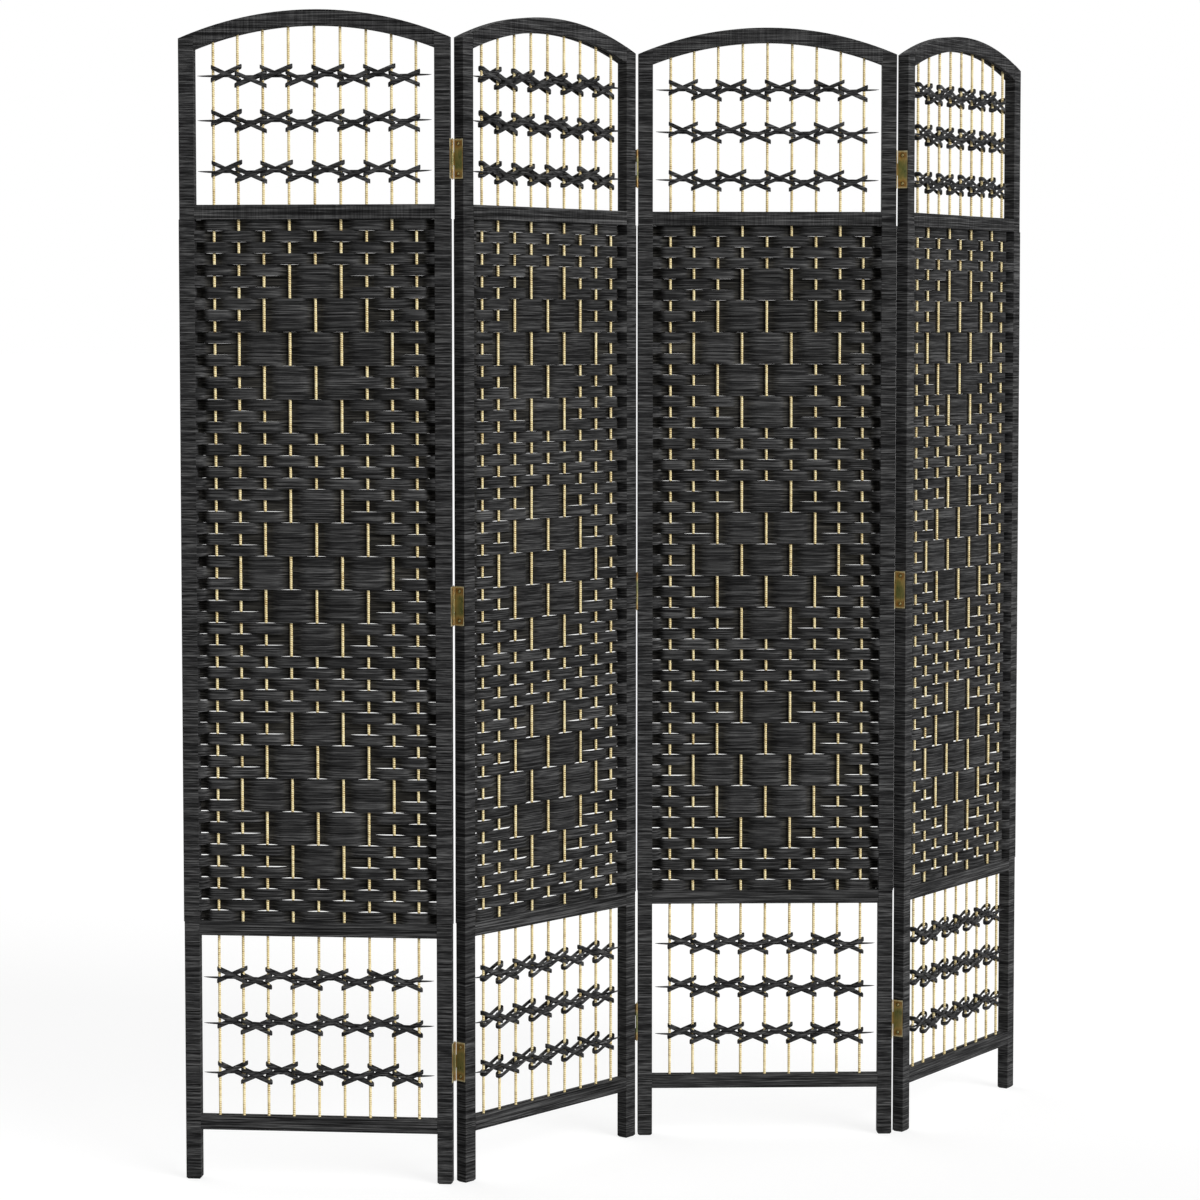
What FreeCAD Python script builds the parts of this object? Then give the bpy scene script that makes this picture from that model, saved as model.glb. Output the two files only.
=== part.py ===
"""Folding screen of four woven panels, hinged edge to edge and standing in a zigzag.

Millimetres, +Z up. Each panel is modelled in its own frame: x runs across the panel from its left
edge, y runs from its front face (0) to its back face, z runs up from the floor. The panels are then
turned about the hinge axes into the standing zigzag, with the origin on the floor at the middle of
the screen's box and the front towards -Y.
"""
import FreeCAD, Part
import math
import os

V = FreeCAD.Vector

# Panel frame
PANEL_COUNT = 4
PANEL_WIDTH = 393.0
STILE_WIDTH = 22.0
FRAME_DEPTH = 18.0
ARCH_RISE = 40.0
ARCH_BAND = 22.4
EASED_EDGE = 0.4
FOOT_CHAMFER = 2.5

# Fibre wound round each stile beside the weave, let in round the hinge leaves with some play
WRAP_THICKNESS = 0.7
WRAP_PLAY = 0.3

# Rails and windows, stacked from the floor up; the upper window is measured at the crown
FOOT_LENGTH = 74.0
BOTTOM_RAIL_HEIGHT = 20.5
LOWER_WINDOW_HEIGHT = 266.5
LOWER_RAIL_HEIGHT = 20.0
WEAVE_HEIGHT = 1020.0
UPPER_RAIL_HEIGHT = 21.0
UPPER_WINDOW_HEIGHT = 255.6

# Tenons on the rail ends, and the play of each in its mortise
TENON_LENGTH = 12.0
TENON_THICKNESS = 7.0
TENON_SHOULDER = 4.5
TENON_PLAY = 0.15
MORTISE_END_GAP = 0.6

# Warp rods; the outermost ones are drawn in a little from the even pitch
ROD_COUNT = 9
ROD_DIAMETER = 4.0
ROD_PITCH = 37.7
ROD_DRAW_IN = 3.6
ROD_PLAY = 0.15
GROOVE_DEPTH = 8.0
GROOVE_END_MARGIN = 3.0

# Weft ribbons
ROW_COUNT = 63
RIBBON_THICKNESS = 0.9
ROW_GAP = 0.5
RIBBON_PLAY = 0.2
RIBBON_EDGE_SET = 1.8
RIBBON_LEAD = 7.0

# Knot rows: the spaces below, between and above them, which share out each window's height
UPPER_KNOT_SPACES = (47.5, 72.5, 64.0, 71.6)
LOWER_KNOT_SPACES = (63.0, 73.0, 67.0, 63.5)
ARM_SWING = 9.7
ARM_SHIFT = 4.1
ARM_HEIGHT = 5.8
ARM_THICKNESS = 0.8
ARM_OVERHANG = 4.6
ARM_PLAY = 0.2
STRAND_HEIGHT = 2.6
STRAND_THICKNESS = 0.8

# Hinges
FOLD_GAP = 3.6
AXIS_OFFSET = 1.2
HINGE_HEIGHTS = (178.0, 844.0, 1487.0)
HINGE_LENGTH = 57.0
LEAF_THICKNESS = 0.9
LEAF_MARGIN = 1.25
BARREL_RADIUS = 1.6
KNUCKLE_COUNT = 3
KNUCKLE_GAP = 0.3
PIN_RADIUS = 0.8
PIN_PLAY = 0.05
PIN_TIP = 1.2
SCREW_INSET = 7.0
SCREW_LENGTH = 11.0
SCREW_RADIUS = 1.3
SCREW_HEAD_RADIUS = 2.4
SCREW_HEAD_HEIGHT = 0.6
SCREW_PLAY = 0.05

# Standing pose: turn of the first panel from the x axis, then of each panel from the one before (degrees)
PANEL_TURNS = (-32.0, 55.7, -48.9, 56.0)

# Heights worked out from the stack
BOTTOM_RAIL_TOP = FOOT_LENGTH + BOTTOM_RAIL_HEIGHT
LOWER_RAIL_BASE = BOTTOM_RAIL_TOP + LOWER_WINDOW_HEIGHT
LOWER_RAIL_TOP = LOWER_RAIL_BASE + LOWER_RAIL_HEIGHT
UPPER_RAIL_BASE = LOWER_RAIL_TOP + WEAVE_HEIGHT
UPPER_RAIL_TOP = UPPER_RAIL_BASE + UPPER_RAIL_HEIGHT
STILE_HEIGHT = UPPER_RAIL_TOP + UPPER_WINDOW_HEIGHT + ARCH_BAND - ARCH_RISE
MID_DEPTH = FRAME_DEPTH / 2
INNER_LEFT = STILE_WIDTH
INNER_RIGHT = PANEL_WIDTH - STILE_WIDTH
GROOVE_WIDTH = ROD_DIAMETER + 2 * ROD_PLAY
LEAF_START = BARREL_RADIUS + KNUCKLE_GAP
LEAF_WIDTH = FRAME_DEPTH + AXIS_OFFSET - LEAF_START - LEAF_MARGIN

# Arch circle through both stile corners and the crown
HALF_WIDTH = PANEL_WIDTH / 2
ARCH_RADIUS = (HALF_WIDTH ** 2 + ARCH_RISE ** 2) / (2 * ARCH_RISE)
ARCH_CENTRE_Z = STILE_HEIGHT + ARCH_RISE - ARCH_RADIUS
ARCH_INNER_RADIUS = ARCH_RADIUS - ARCH_BAND


def arch_height(x, radius):
    """Height of the arch circle of this radius above the floor at x."""
    return ARCH_CENTRE_Z + math.sqrt(radius ** 2 - (x - HALF_WIDTH) ** 2)


def box_between(corner, opposite):
    """Box between two opposite corners, given in any order."""
    low = V(*[min(a, b) for a, b in zip(corner, opposite)])
    high = V(*[max(a, b) for a, b in zip(corner, opposite)])
    size = high - low
    return Part.makeBox(size.x, size.y, size.z, low)


def plate_xz(points, y, depth):
    """Polygon in the panel's face, given as (x, z), extruded through the depth."""
    corners = [V(x, y, z) for x, z in points]
    return Part.Face(Part.makePolygon(corners + corners[:1])).extrude(V(0, depth, 0))


def ribbon_xy(path, thickness, z, height):
    """Flat ribbon on edge: follows (x, y) points in plan, with its thickness along y."""
    near = [V(x, y - thickness / 2, z) for x, y in path]
    far = [V(x, y + thickness / 2, z) for x, y in reversed(path)]
    outline = near + far
    return Part.Face(Part.makePolygon(outline + outline[:1])).extrude(V(0, 0, height))


def arc_face(left, right, base_z, radius, y):
    """Face in the plane y with a flat base and an arch of this radius on top."""
    top_left = V(left, y, arch_height(left, radius))
    top_right = V(right, y, arch_height(right, radius))
    middle = (left + right) / 2
    arc = Part.Arc(top_right, V(middle, y, arch_height(middle, radius)), top_left).toShape()
    foot_left = V(left, y, base_z)
    foot_right = V(right, y, base_z)
    sides = [Part.makeLine(top_left, foot_left), Part.makeLine(foot_left, foot_right),
             Part.makeLine(foot_right, top_right)]
    return Part.Face(Part.Wire(sides + [arc]))


def upright_edges(shape):
    return [e for e in shape.Edges if abs(e.tangentAt(e.FirstParameter).z) > 0.999 and e.Length > FOOT_LENGTH]


def edges_along_x(shape):
    span = INNER_RIGHT - INNER_LEFT
    return [e for e in shape.Edges if abs(e.tangentAt(e.FirstParameter).x) > 0.5 and e.Length > span / 2]


# Rails and stiles

def rail_spans():
    """Base and top of each straight rail, by name."""
    return {"bottom_rail": (FOOT_LENGTH, BOTTOM_RAIL_TOP),
            "lower_rail": (LOWER_RAIL_BASE, LOWER_RAIL_TOP),
            "upper_rail": (UPPER_RAIL_BASE, UPPER_RAIL_TOP)}


def tenon_spans():
    """Base and top of every tenon, from the bottom rail up to the arch rail."""
    spans = [(base + TENON_SHOULDER, top - TENON_SHOULDER) for base, top in rail_spans().values()]
    arch_base = arch_height(INNER_LEFT, ARCH_INNER_RADIUS) + TENON_SHOULDER
    spans.append((arch_base, arch_base + ARCH_BAND - 2.5 * TENON_SHOULDER))
    return spans


def tenon(side, base, top, play=0.0, end_gap=0.0):
    """Tenon that runs into the stile on this side; play and end gap make its mortise."""
    shoulder_x = INNER_LEFT if side == "left" else INNER_RIGHT
    outward = -1 if side == "left" else 1
    half = TENON_THICKNESS / 2 + play
    return box_between((shoulder_x, MID_DEPTH - half, base - play),
                       (shoulder_x + outward * (TENON_LENGTH + end_gap), MID_DEPTH + half, top + play))


def outer_face(side):
    """Place of a stile's outer face across the panel, and the direction out of it."""
    return (0.0, -1) if side == "left" else (PANEL_WIDTH, 1)


def stile_wrap(side):
    """The winding beside the weave, over the stile's front, outer and back faces."""
    outer, outward = outer_face(side)
    shape = box_between((outer - outward * STILE_WIDTH, -WRAP_THICKNESS, LOWER_RAIL_TOP),
                        (outer + outward * WRAP_THICKNESS, FRAME_DEPTH + WRAP_THICKNESS, UPPER_RAIL_BASE))
    return shape.makeChamfer(EASED_EDGE, upright_edges(shape))


def hinge_recesses(side):
    """Room in the winding for the hinge leaves, which lie on the stile itself."""
    outer, outward = outer_face(side)
    half = HINGE_LENGTH / 2 + WRAP_PLAY
    return [box_between((outer, -WRAP_THICKNESS, height - half),
                        (outer + outward * WRAP_THICKNESS, FRAME_DEPTH + WRAP_THICKNESS, height + half))
            for height in HINGE_HEIGHTS]


def stile(side):
    """Upright with its top cut to the arch, mortises inside and a winding beside the weave."""
    left = 0.0 if side == "left" else INNER_RIGHT
    shape = arc_face(left, left + STILE_WIDTH, 0.0, ARCH_RADIUS, 0.0).extrude(V(0, FRAME_DEPTH, 0))
    foot_edges = [e for e in shape.Edges if e.BoundBox.ZMax < FOOT_CHAMFER]
    shape = shape.makeChamfer(FOOT_CHAMFER, foot_edges)
    shape = shape.makeChamfer(EASED_EDGE, upright_edges(shape))
    shape = shape.fuse(stile_wrap(side)).removeSplitter()
    for base, top in tenon_spans():
        shape = shape.cut(tenon(side, base, top, TENON_PLAY, MORTISE_END_GAP))
    return shape


def rod_groove(base, top):
    """Slot along a rail, as wide as a rod, that the row of rods stands in."""
    reach = ROD_DIAMETER / 2 + GROOVE_END_MARGIN
    return box_between((rod_x(0) - reach, MID_DEPTH - GROOVE_WIDTH / 2, base),
                       (rod_x(ROD_COUNT - 1) + reach, MID_DEPTH + GROOVE_WIDTH / 2, top))


def with_tenons(shape, base, top):
    for side in ("left", "right"):
        shape = shape.fuse(tenon(side, base, top))
    return shape.removeSplitter()


def straight_rail(name):
    """Rail between the stiles. The rods pass through the two middle rails and stop in the bottom one."""
    base, top = rail_spans()[name]
    shape = box_between((INNER_LEFT, 0, base), (INNER_RIGHT, FRAME_DEPTH, top))
    shape = shape.makeChamfer(EASED_EDGE, edges_along_x(shape))
    groove_base = top - GROOVE_DEPTH if name == "bottom_rail" else base
    shape = shape.cut(rod_groove(groove_base, top))
    return with_tenons(shape, base + TENON_SHOULDER, top - TENON_SHOULDER)


def arch_rail():
    """Curved head rail, ploughed underneath for the tops of the rods."""
    below = UPPER_RAIL_TOP
    outer = arc_face(INNER_LEFT, INNER_RIGHT, below, ARCH_RADIUS, 0.0).extrude(V(0, FRAME_DEPTH, 0))
    inner = arc_face(INNER_LEFT, INNER_RIGHT, below, ARCH_INNER_RADIUS, 0.0).extrude(V(0, FRAME_DEPTH, 0))
    shape = outer.cut(inner)
    shape = shape.makeChamfer(EASED_EDGE, edges_along_x(shape))
    reach = ROD_DIAMETER / 2 + GROOVE_END_MARGIN
    groove = arc_face(rod_x(0) - reach, rod_x(ROD_COUNT - 1) + reach, below,
                      ARCH_INNER_RADIUS + GROOVE_DEPTH, MID_DEPTH - GROOVE_WIDTH / 2)
    shape = shape.cut(groove.extrude(V(0, GROOVE_WIDTH, 0)))
    return with_tenons(shape, *tenon_spans()[-1])


# Warp rods and weft ribbons

def rod_x(index):
    """Place of a rod across the panel."""
    outermost = (ROD_COUNT - 1) / 2
    step = index - outermost
    return HALF_WIDTH + ROD_PITCH * step - ROD_DRAW_IN * (step / outermost) ** 3


def warp_rods():
    base = BOTTOM_RAIL_TOP - GROOVE_DEPTH + ROD_PLAY
    rods = []
    for index in range(ROD_COUNT):
        x = rod_x(index)
        nearest_edge = x - math.copysign(ROD_DIAMETER / 2, HALF_WIDTH - x)
        top = arch_height(nearest_edge, ARCH_INNER_RADIUS + GROOVE_DEPTH) - ROD_PLAY
        rods.append(Part.makeCylinder(ROD_DIAMETER / 2, top - base, V(x, MID_DEPTH, base)))
    return rods


def weft_ribbons():
    """Rows of flat ribbon. Odd rows pass in front of the rods and end behind, even rows the reverse."""
    pitch = WEAVE_HEIGHT / ROW_COUNT
    off_rods = ROD_DIAMETER / 2 + RIBBON_PLAY + RIBBON_THICKNESS / 2
    off_stiles = MID_DEPTH - RIBBON_EDGE_SET - RIBBON_THICKNESS / 2
    first = rod_x(0) - RIBBON_LEAD
    last = rod_x(ROD_COUNT - 1) + RIBBON_LEAD
    ribbons = []
    for row in range(ROW_COUNT):
        forward = -1 if row % 2 == 0 else 1
        path = [(INNER_LEFT + RIBBON_PLAY, MID_DEPTH - forward * off_stiles),
                (first, MID_DEPTH + forward * off_rods),
                (last, MID_DEPTH + forward * off_rods),
                (INNER_RIGHT - RIBBON_PLAY, MID_DEPTH - forward * off_stiles)]
        base = LOWER_RAIL_TOP + row * pitch + ROW_GAP / 2
        ribbons.append(ribbon_xy(path, RIBBON_THICKNESS, base, pitch - ROW_GAP))
    return ribbons


def knot_row(z):
    """Crossed arms bound over each pair of rods, one in front and one behind, and a strand across."""
    front_y = MID_DEPTH - ROD_DIAMETER / 2 - ARM_PLAY - ARM_THICKNESS
    back_y = MID_DEPTH + ROD_DIAMETER / 2 + ARM_PLAY
    pieces = []
    for gap in range(ROD_COUNT - 1):
        centre = z + (ARM_SHIFT if gap % 2 == 0 else -ARM_SHIFT)
        left = rod_x(gap) - ARM_OVERHANG
        right = rod_x(gap + 1) + ARM_OVERHANG
        for y, fall in ((front_y, ARM_SWING), (back_y, -ARM_SWING)):
            half = ARM_HEIGHT / 2
            arm = [(left, centre + fall - half), (right, centre - fall - half),
                   (right, centre - fall + half), (left, centre + fall + half)]
            pieces.append(plate_xz(arm, y, ARM_THICKNESS))
    strand_back = front_y - ARM_PLAY
    pieces.append(box_between((INNER_LEFT, strand_back - STRAND_THICKNESS, z - STRAND_HEIGHT / 2),
                              (INNER_RIGHT, strand_back, z + STRAND_HEIGHT / 2)))
    return pieces


def knots(base, window_height, spaces):
    """The knot rows of a window, at heights that share it out as the spaces do."""
    pieces = []
    for row in range(1, len(spaces)):
        share = sum(spaces[:row]) / sum(spaces)
        pieces += knot_row(base + share * window_height)
    return pieces


# Hinges, in a frame whose z axis is the hinge axis

def knuckle_spans(leaf):
    """Height spans of the knuckles that belong to the left or the right leaf."""
    step = HINGE_LENGTH / KNUCKLE_COUNT
    start = 0 if leaf == "left" else 1
    lows = [i * step + KNUCKLE_GAP / 2 for i in range(start, KNUCKLE_COUNT, 2)]
    return [(low, low + step - KNUCKLE_GAP) for low in lows]


def screw_places(barrel):
    """Distance from the axis and height of each screw of a leaf."""
    y = -barrel * (LEAF_START + LEAF_WIDTH / 2)
    return [(y, SCREW_INSET), (y, HINGE_LENGTH - SCREW_INSET)]


def hinge_leaf(leaf, barrel):
    """Leaf plate on the stile's edge with its knuckles; barrel is 1 behind the screen, -1 in front."""
    side = -1 if leaf == "left" else 1
    seat = side * FOLD_GAP / 2
    face = seat - side * LEAF_THICKNESS
    near = -barrel * LEAF_START
    shape = box_between((seat, near, 0), (face, near - barrel * LEAF_WIDTH, HINGE_LENGTH))
    for low, high in knuckle_spans(leaf):
        shape = shape.fuse(box_between((seat, near, low), (face, 0, high)))
        shape = shape.fuse(Part.makeCylinder(BARREL_RADIUS, high - low, V(0, 0, low)))
    shape = shape.cut(Part.makeCylinder(PIN_RADIUS + PIN_PLAY, HINGE_LENGTH))
    for y, z in screw_places(barrel):
        hole = Part.makeCylinder(SCREW_RADIUS + SCREW_PLAY, FOLD_GAP, V(seat, y, z), V(-side, 0, 0))
        shape = shape.cut(hole)
    return shape.removeSplitter()


def hinge_screw(leaf, y, z, play=0.0):
    """Screw through the leaf into the stile; with play, its pilot hole."""
    side = -1 if leaf == "left" else 1
    face = side * (FOLD_GAP / 2 - LEAF_THICKNESS)
    inward = V(side, 0, 0)
    shank = Part.makeCylinder(SCREW_RADIUS + play, SCREW_LENGTH + play, V(face, y, z), inward)
    if play:
        return shank
    head = Part.makeCylinder(SCREW_HEAD_RADIUS, SCREW_HEAD_HEIGHT, V(face, y, z), -inward)
    return shank.fuse(head).removeSplitter()


def hinge_pin():
    return Part.makeCylinder(PIN_RADIUS, HINGE_LENGTH + 2 * PIN_TIP, V(0, 0, -PIN_TIP))


def barrel_side(fold):
    """The first and last folds have their barrels behind the screen, the middle one in front."""
    return 1 if fold % 2 == 0 else -1


def axis_in_panel(fold, leaf):
    """Place of a fold's axis in the frame of the panel on its left or right."""
    x = PANEL_WIDTH + FOLD_GAP / 2 if leaf == "left" else -FOLD_GAP / 2
    y = FRAME_DEPTH + AXIS_OFFSET if barrel_side(fold) > 0 else -AXIS_OFFSET
    return V(x, y, 0)


def at_hinges(fold, leaf, make):
    """Copies of what make() returns, at each hinge of a fold, in the panel's frame."""
    pieces = []
    for height in HINGE_HEIGHTS:
        lift = axis_in_panel(fold, leaf) + V(0, 0, height - HINGE_LENGTH / 2)
        pieces += [shape.translated(lift) for shape in make()]
    return pieces


def hinge_screws(fold, leaf, play=0.0):
    places = screw_places(barrel_side(fold))
    return at_hinges(fold, leaf, lambda: [hinge_screw(leaf, y, z, play) for y, z in places])


# Assembly

def panel_placements():
    """Placement of each panel: turned about the hinge axes, then centred over the origin."""
    spots = []
    direction = 0.0
    origin = V(0, 0, 0)
    for panel in range(PANEL_COUNT):
        direction += PANEL_TURNS[panel]
        turn = FreeCAD.Rotation(V(0, 0, 1), direction)
        if panel > 0:
            origin = axis - turn.multVec(axis_in_panel(panel - 1, "right"))
        spots.append((origin, turn))
        if panel < PANEL_COUNT - 1:
            axis = origin + turn.multVec(axis_in_panel(panel, "left"))
    corners = [spot + turn.multVec(V(x, y, 0)) for spot, turn in spots
               for x in (0, PANEL_WIDTH) for y in (0, FRAME_DEPTH)]
    centre = V((min(c.x for c in corners) + max(c.x for c in corners)) / 2,
               (min(c.y for c in corners) + max(c.y for c in corners)) / 2, 0)
    return [FreeCAD.Placement(spot - centre, turn) for spot, turn in spots]


def panel_nodes(panel):
    """Every piece of one panel, in the panel's frame, by node name."""
    left = stile("left")
    right = stile("right")
    if panel > 0:
        for hole in hinge_recesses("left") + hinge_screws(panel - 1, "right", SCREW_PLAY):
            left = left.cut(hole)
    if panel < PANEL_COUNT - 1:
        for hole in hinge_recesses("right") + hinge_screws(panel, "left", SCREW_PLAY):
            right = right.cut(hole)
    prefix = "panel_%d_" % (panel + 1)
    nodes = {prefix + "left_stile": [left],
             prefix + "right_stile": [right],
             prefix + "arch_rail": [arch_rail()],
             prefix + "warp_rods": warp_rods(),
             prefix + "weft_ribbons": weft_ribbons(),
             prefix + "upper_knots": knots(UPPER_RAIL_TOP, UPPER_WINDOW_HEIGHT, UPPER_KNOT_SPACES),
             prefix + "lower_knots": knots(BOTTOM_RAIL_TOP, LOWER_WINDOW_HEIGHT, LOWER_KNOT_SPACES)}
    for name in rail_spans():
        nodes[prefix + name] = [straight_rail(name)]
    return nodes


def fold_nodes(fold, leaf):
    """Hinge pieces that one panel carries at a fold, in that panel's frame."""
    prefix = "fold_%d_" % (fold + 1)
    nodes = {prefix + leaf + "_leaves": at_hinges(fold, leaf, lambda: [hinge_leaf(leaf, barrel_side(fold))]),
             prefix + leaf + "_screws": hinge_screws(fold, leaf)}
    if leaf == "left":
        nodes[prefix + "pins"] = at_hinges(fold, leaf, lambda: [hinge_pin()])
    return nodes


def write_node(name, solids, placement):
    placed = []
    for solid in solids:
        shape = solid.copy()
        shape.Placement = placement.multiply(shape.Placement)
        placed.append(shape)
    shape = placed[0] if len(placed) == 1 else Part.makeCompound(placed)
    shape.exportStep("parts/%s.step" % name)


def main():
    os.makedirs("parts", exist_ok=True)
    for panel, placement in enumerate(panel_placements()):
        nodes = panel_nodes(panel)
        if panel > 0:
            nodes.update(fold_nodes(panel - 1, "right"))
        if panel < PANEL_COUNT - 1:
            nodes.update(fold_nodes(panel, "left"))
        for name, solids in nodes.items():
            write_node(name, solids, placement)


main()
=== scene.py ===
import math
import random

import bpy
from mathutils import Matrix, Vector


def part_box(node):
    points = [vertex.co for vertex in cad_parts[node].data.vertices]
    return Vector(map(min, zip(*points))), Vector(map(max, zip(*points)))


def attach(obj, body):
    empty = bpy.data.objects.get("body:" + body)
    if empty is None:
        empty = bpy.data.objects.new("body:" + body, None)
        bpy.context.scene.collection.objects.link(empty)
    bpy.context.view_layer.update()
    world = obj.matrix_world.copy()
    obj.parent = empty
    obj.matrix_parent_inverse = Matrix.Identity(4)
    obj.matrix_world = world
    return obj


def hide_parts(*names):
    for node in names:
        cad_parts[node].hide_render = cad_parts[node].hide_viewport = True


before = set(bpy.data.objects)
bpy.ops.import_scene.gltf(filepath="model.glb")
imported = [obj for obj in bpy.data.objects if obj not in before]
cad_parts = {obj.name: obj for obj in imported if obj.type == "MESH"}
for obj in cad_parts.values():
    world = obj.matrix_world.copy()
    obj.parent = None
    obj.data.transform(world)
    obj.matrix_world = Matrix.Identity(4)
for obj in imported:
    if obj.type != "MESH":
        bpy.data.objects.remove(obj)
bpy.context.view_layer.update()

# Folding screen of four woven panels. Each panel has its own frame: x across from its left edge,
# y from its front face to its back face, z up from the floor. Sizes are millimetres until a piece is made.
MM = 0.001
PANEL_COUNT = 4
STILE_WIDTH = 22.0
STILE_WRAP = 0.7
FRAME_DEPTH = 18.0
MID_DEPTH = FRAME_DEPTH / 2

# Edges sharper than this many degrees stay crisp
SMOOTH_ANGLE = 40.0

# Warp rods: slightly wavy and uneven, with the outer ones drawn in
ROD_COUNT = 9
ROD_RADIUS = 2.0
ROD_PITCH = 37.7
ROD_DRAW_IN = 3.6
ROD_SEAT_DEPTH = 7.0
ROD_SIDES = 12
ROD_STEP = 9.0
ROD_SWAY = 0.25
ROD_SWAY_LENGTH = 130.0
ROD_SWELL = 0.035
ROD_SWELL_LENGTH = 23.0
ROD_UNEVENNESS = 0.02
ROD_TWIST_LEAD = 3.1
ROD_SEED = 200

# Weft ribbons
ROW_COUNT = 63
RIBBON_THICKNESS = 0.9
RIBBON_OFF_RODS = 4.0
RIBBON_OFF_STILES = 8.7
RIBBON_END_SINK = 0.4
RIBBON_TURN_START = 24.0
RIBBON_CROWN = 0.2
RIBBON_EDGE = 0.5
RIBBON_PROFILE = (-RIBBON_EDGE, -0.44, -0.25, 0.0, 0.25, 0.44, RIBBON_EDGE)
RIBBON_EDGE_SHARE = 0.75
ROW_OVERLAP = 0.25
ROW_SLIT = 0.1
END_OVERLAP = 0.7
ROW_LEVEL_JITTER = 0.05
ROW_DEPTH_JITTER = 0.3
WAVES_PER_ROW = 2
WAVE_SIZES = (0.02, 0.07)
WAVE_LENGTHS = (25, 70)
SAMPLES_PER_SPAN = 8
SAMPLES_PER_FLOAT = 3
WEAVE_SEED = 100

# Share of the way to the next rod over which a ribbon stays level: in front of a rod, behind one, and beside
# a stile
FRONT_LEVEL = 0.36
BACK_LEVEL = 0.06
END_LEVEL = 0.15

# How far before mid-depth the painted shade on a ribbon begins as it dips behind the rods, and over what run
# it deepens, as shares of RIBBON_OFF_RODS
DIP_START = 0.2
DIP_RUN = 0.8

# Rods that show in front of the ribbon, counted from the left: plain weave, then the middle rows of a
# medallion's five bands, by their place in the medallion, and one row that slipped
PLAIN_ODD = (2, 4, 6, 8)
PLAIN_EVEN = (1, 3, 5, 7, 9)
MEDALLION_FIRST_ROWS = (5, 25, 45)
NARROW_BAND = (1, 3, 4, 6, 7, 9)
MIDDLE_BAND = (2, 3, 5, 7, 8)
WIDE_BAND = (1, 2, 4, 6, 8, 9)
MEDALLION_BANDS = {1: NARROW_BAND, 4: MIDDLE_BAND, 7: WIDE_BAND, 10: MIDDLE_BAND, 13: NARROW_BAND}
SLIP_ROW = 15
SLIP_SHOWN = (2, 3, 5, 8)

# Knot rows: spaces from a window's foot to its rows and its head
UPPER_KNOT_SPACES = (47.5, 72.5, 64.0, 71.6)
LOWER_KNOT_SPACES = (63.0, 73.0, 67.0, 63.5)

# Bands that cross in a knot, each looped round two rods; profile as shares of thickness and half height
ARM_SWING = 9.7
ARM_SWING_JITTER = 0.4
ARM_SHIFT = 4.1
ARM_SHIFT_JITTER = 0.3
ARM_HEIGHT = 6.2
ARM_HEIGHT_RANGE = (0.93, 1.07)
ARM_THICKNESS = 0.8
ARM_PROFILE = ((0.5, -0.8), (0.62, 0.0), (0.5, 0.8), (0.0, 1.0), (-0.5, 0.8), (-0.5, -0.8), (0.0, -1.0))
ARM_LEFT_OVERHANG = 3.8
ARM_RIGHT_OVERHANG = 5.2
ARM_FIRST_OVERHANG = 2.6
ARM_LAYER_OVERHANG = 0.4
ARM_STAND_OFF = 4.9
ARM_LAYER = 0.95
ARM_STRAIGHT_SAMPLES = 7
ARM_END_SAMPLES = 7

# Thin strand through each knot row; profile as shares of half thickness and half height
STRAND_HEIGHT = 3.4
STRAND_THICKNESS = 0.9
STRAND_PROFILE = ((-1, -0.6), (-1, 0.6), (0, 1), (1, 0.6), (1, -0.6), (0, -1))
STRAND_TAPER = 0.55
STRAND_TIP_GAP = 4.5
STRAND_TIP_HEIGHT = 0.5
STRAND_TIP_SHARE = 0.4
STRAND_TIP_RISE = 0.8
STRAND_WAVE = 0.4
STRAND_WAVE_LENGTH = 21.0
STRAND_SAMPLES = 61

# Hinges, as the CAD has them
HINGE_HEIGHTS = (178.0, 844.0, 1487.0)
HINGE_LENGTH = 57.0
LEAF_THICKNESS = 0.9
LEAF_HALF_WIDTH = 8.02

# Slotted screws; head profile as shares of height and radius, with a tone for each of its rings: painted
# shade round the foot of the head, painted highlight on its top
SCREW_INSET = 7.0
SCREW_OFFSET = 0.275
SCREW_RADIUS = 1.3
SCREW_LENGTH = 11.0
SCREW_TIP_LENGTH = 2.0
SCREW_TIP_SHARE = 0.5
SCREW_HEAD_RADIUS = 3.0
SCREW_HEAD_HEIGHT = 0.75
SCREW_HEAD_PROFILE = ((0.0, 1.0), (0.1, 1.0), (0.12, 0.8), (0.5, 0.74), (0.8, 0.6), (0.95, 0.4), (1.0, 0.2),
                      (1.0, 0.02))
SCREW_SHADE_AND_HIGHLIGHT = (-0.8, -0.85, -0.85, -0.2, 0.5, 0.7, 0.7, 0.7)
SCREW_SIDES = 28
SLOT_FIRST_RING = 3
SLOT_DIRECTION = (0.8, 0.6)
SLOT_HALF_WIDTH = 0.42
SLOT_DEPTH = 0.45
SLOT_FLOOR = 0.05
SLOT_SHADE = -0.9

# Fibre finish; streaks are broad and fine noise cells per metre along the panel's x, y and z
FIBRE_RAMP = ((0.40, (0.0045, 0.0045, 0.0047)), (0.49, (0.0225, 0.0225, 0.0230)),
              (0.555, (0.0560, 0.0560, 0.0565)), (0.635, (0.1150, 0.1150, 0.1150)))
STILE_STREAKS = ((15, 15, 520), (38, 38, 1000))
# Painted light: a brightness for each panel's stiles, highest on the right, as the light falls on them
PAINTED_STILE_LIGHT = (0.95, 0.92, 0.97, 1.12)
RAIL_STREAKS = ((7, 520, 520), (20, 950, 950))
HEAD_CROSS_STREAKS = (560, 15, 15)
CROSS_SHARE = 0.15
WEAVE_STREAKS = ((10, 60, 600), (26, 60, 1100))
WEAVE_LEVEL = 0.93
KNOT_STREAKS = ((40, 40, 500), (90, 90, 1100))
FIBRE_TONE_SHARE = 0.2
# Painted shade where a ribbon dips behind the rods: darker and warmer towards the back
DIP_SHADE_RAMP = ((0.0, (1.0, 1.0, 1.0)), (1.0, (0.76, 0.73, 0.66)))

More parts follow.
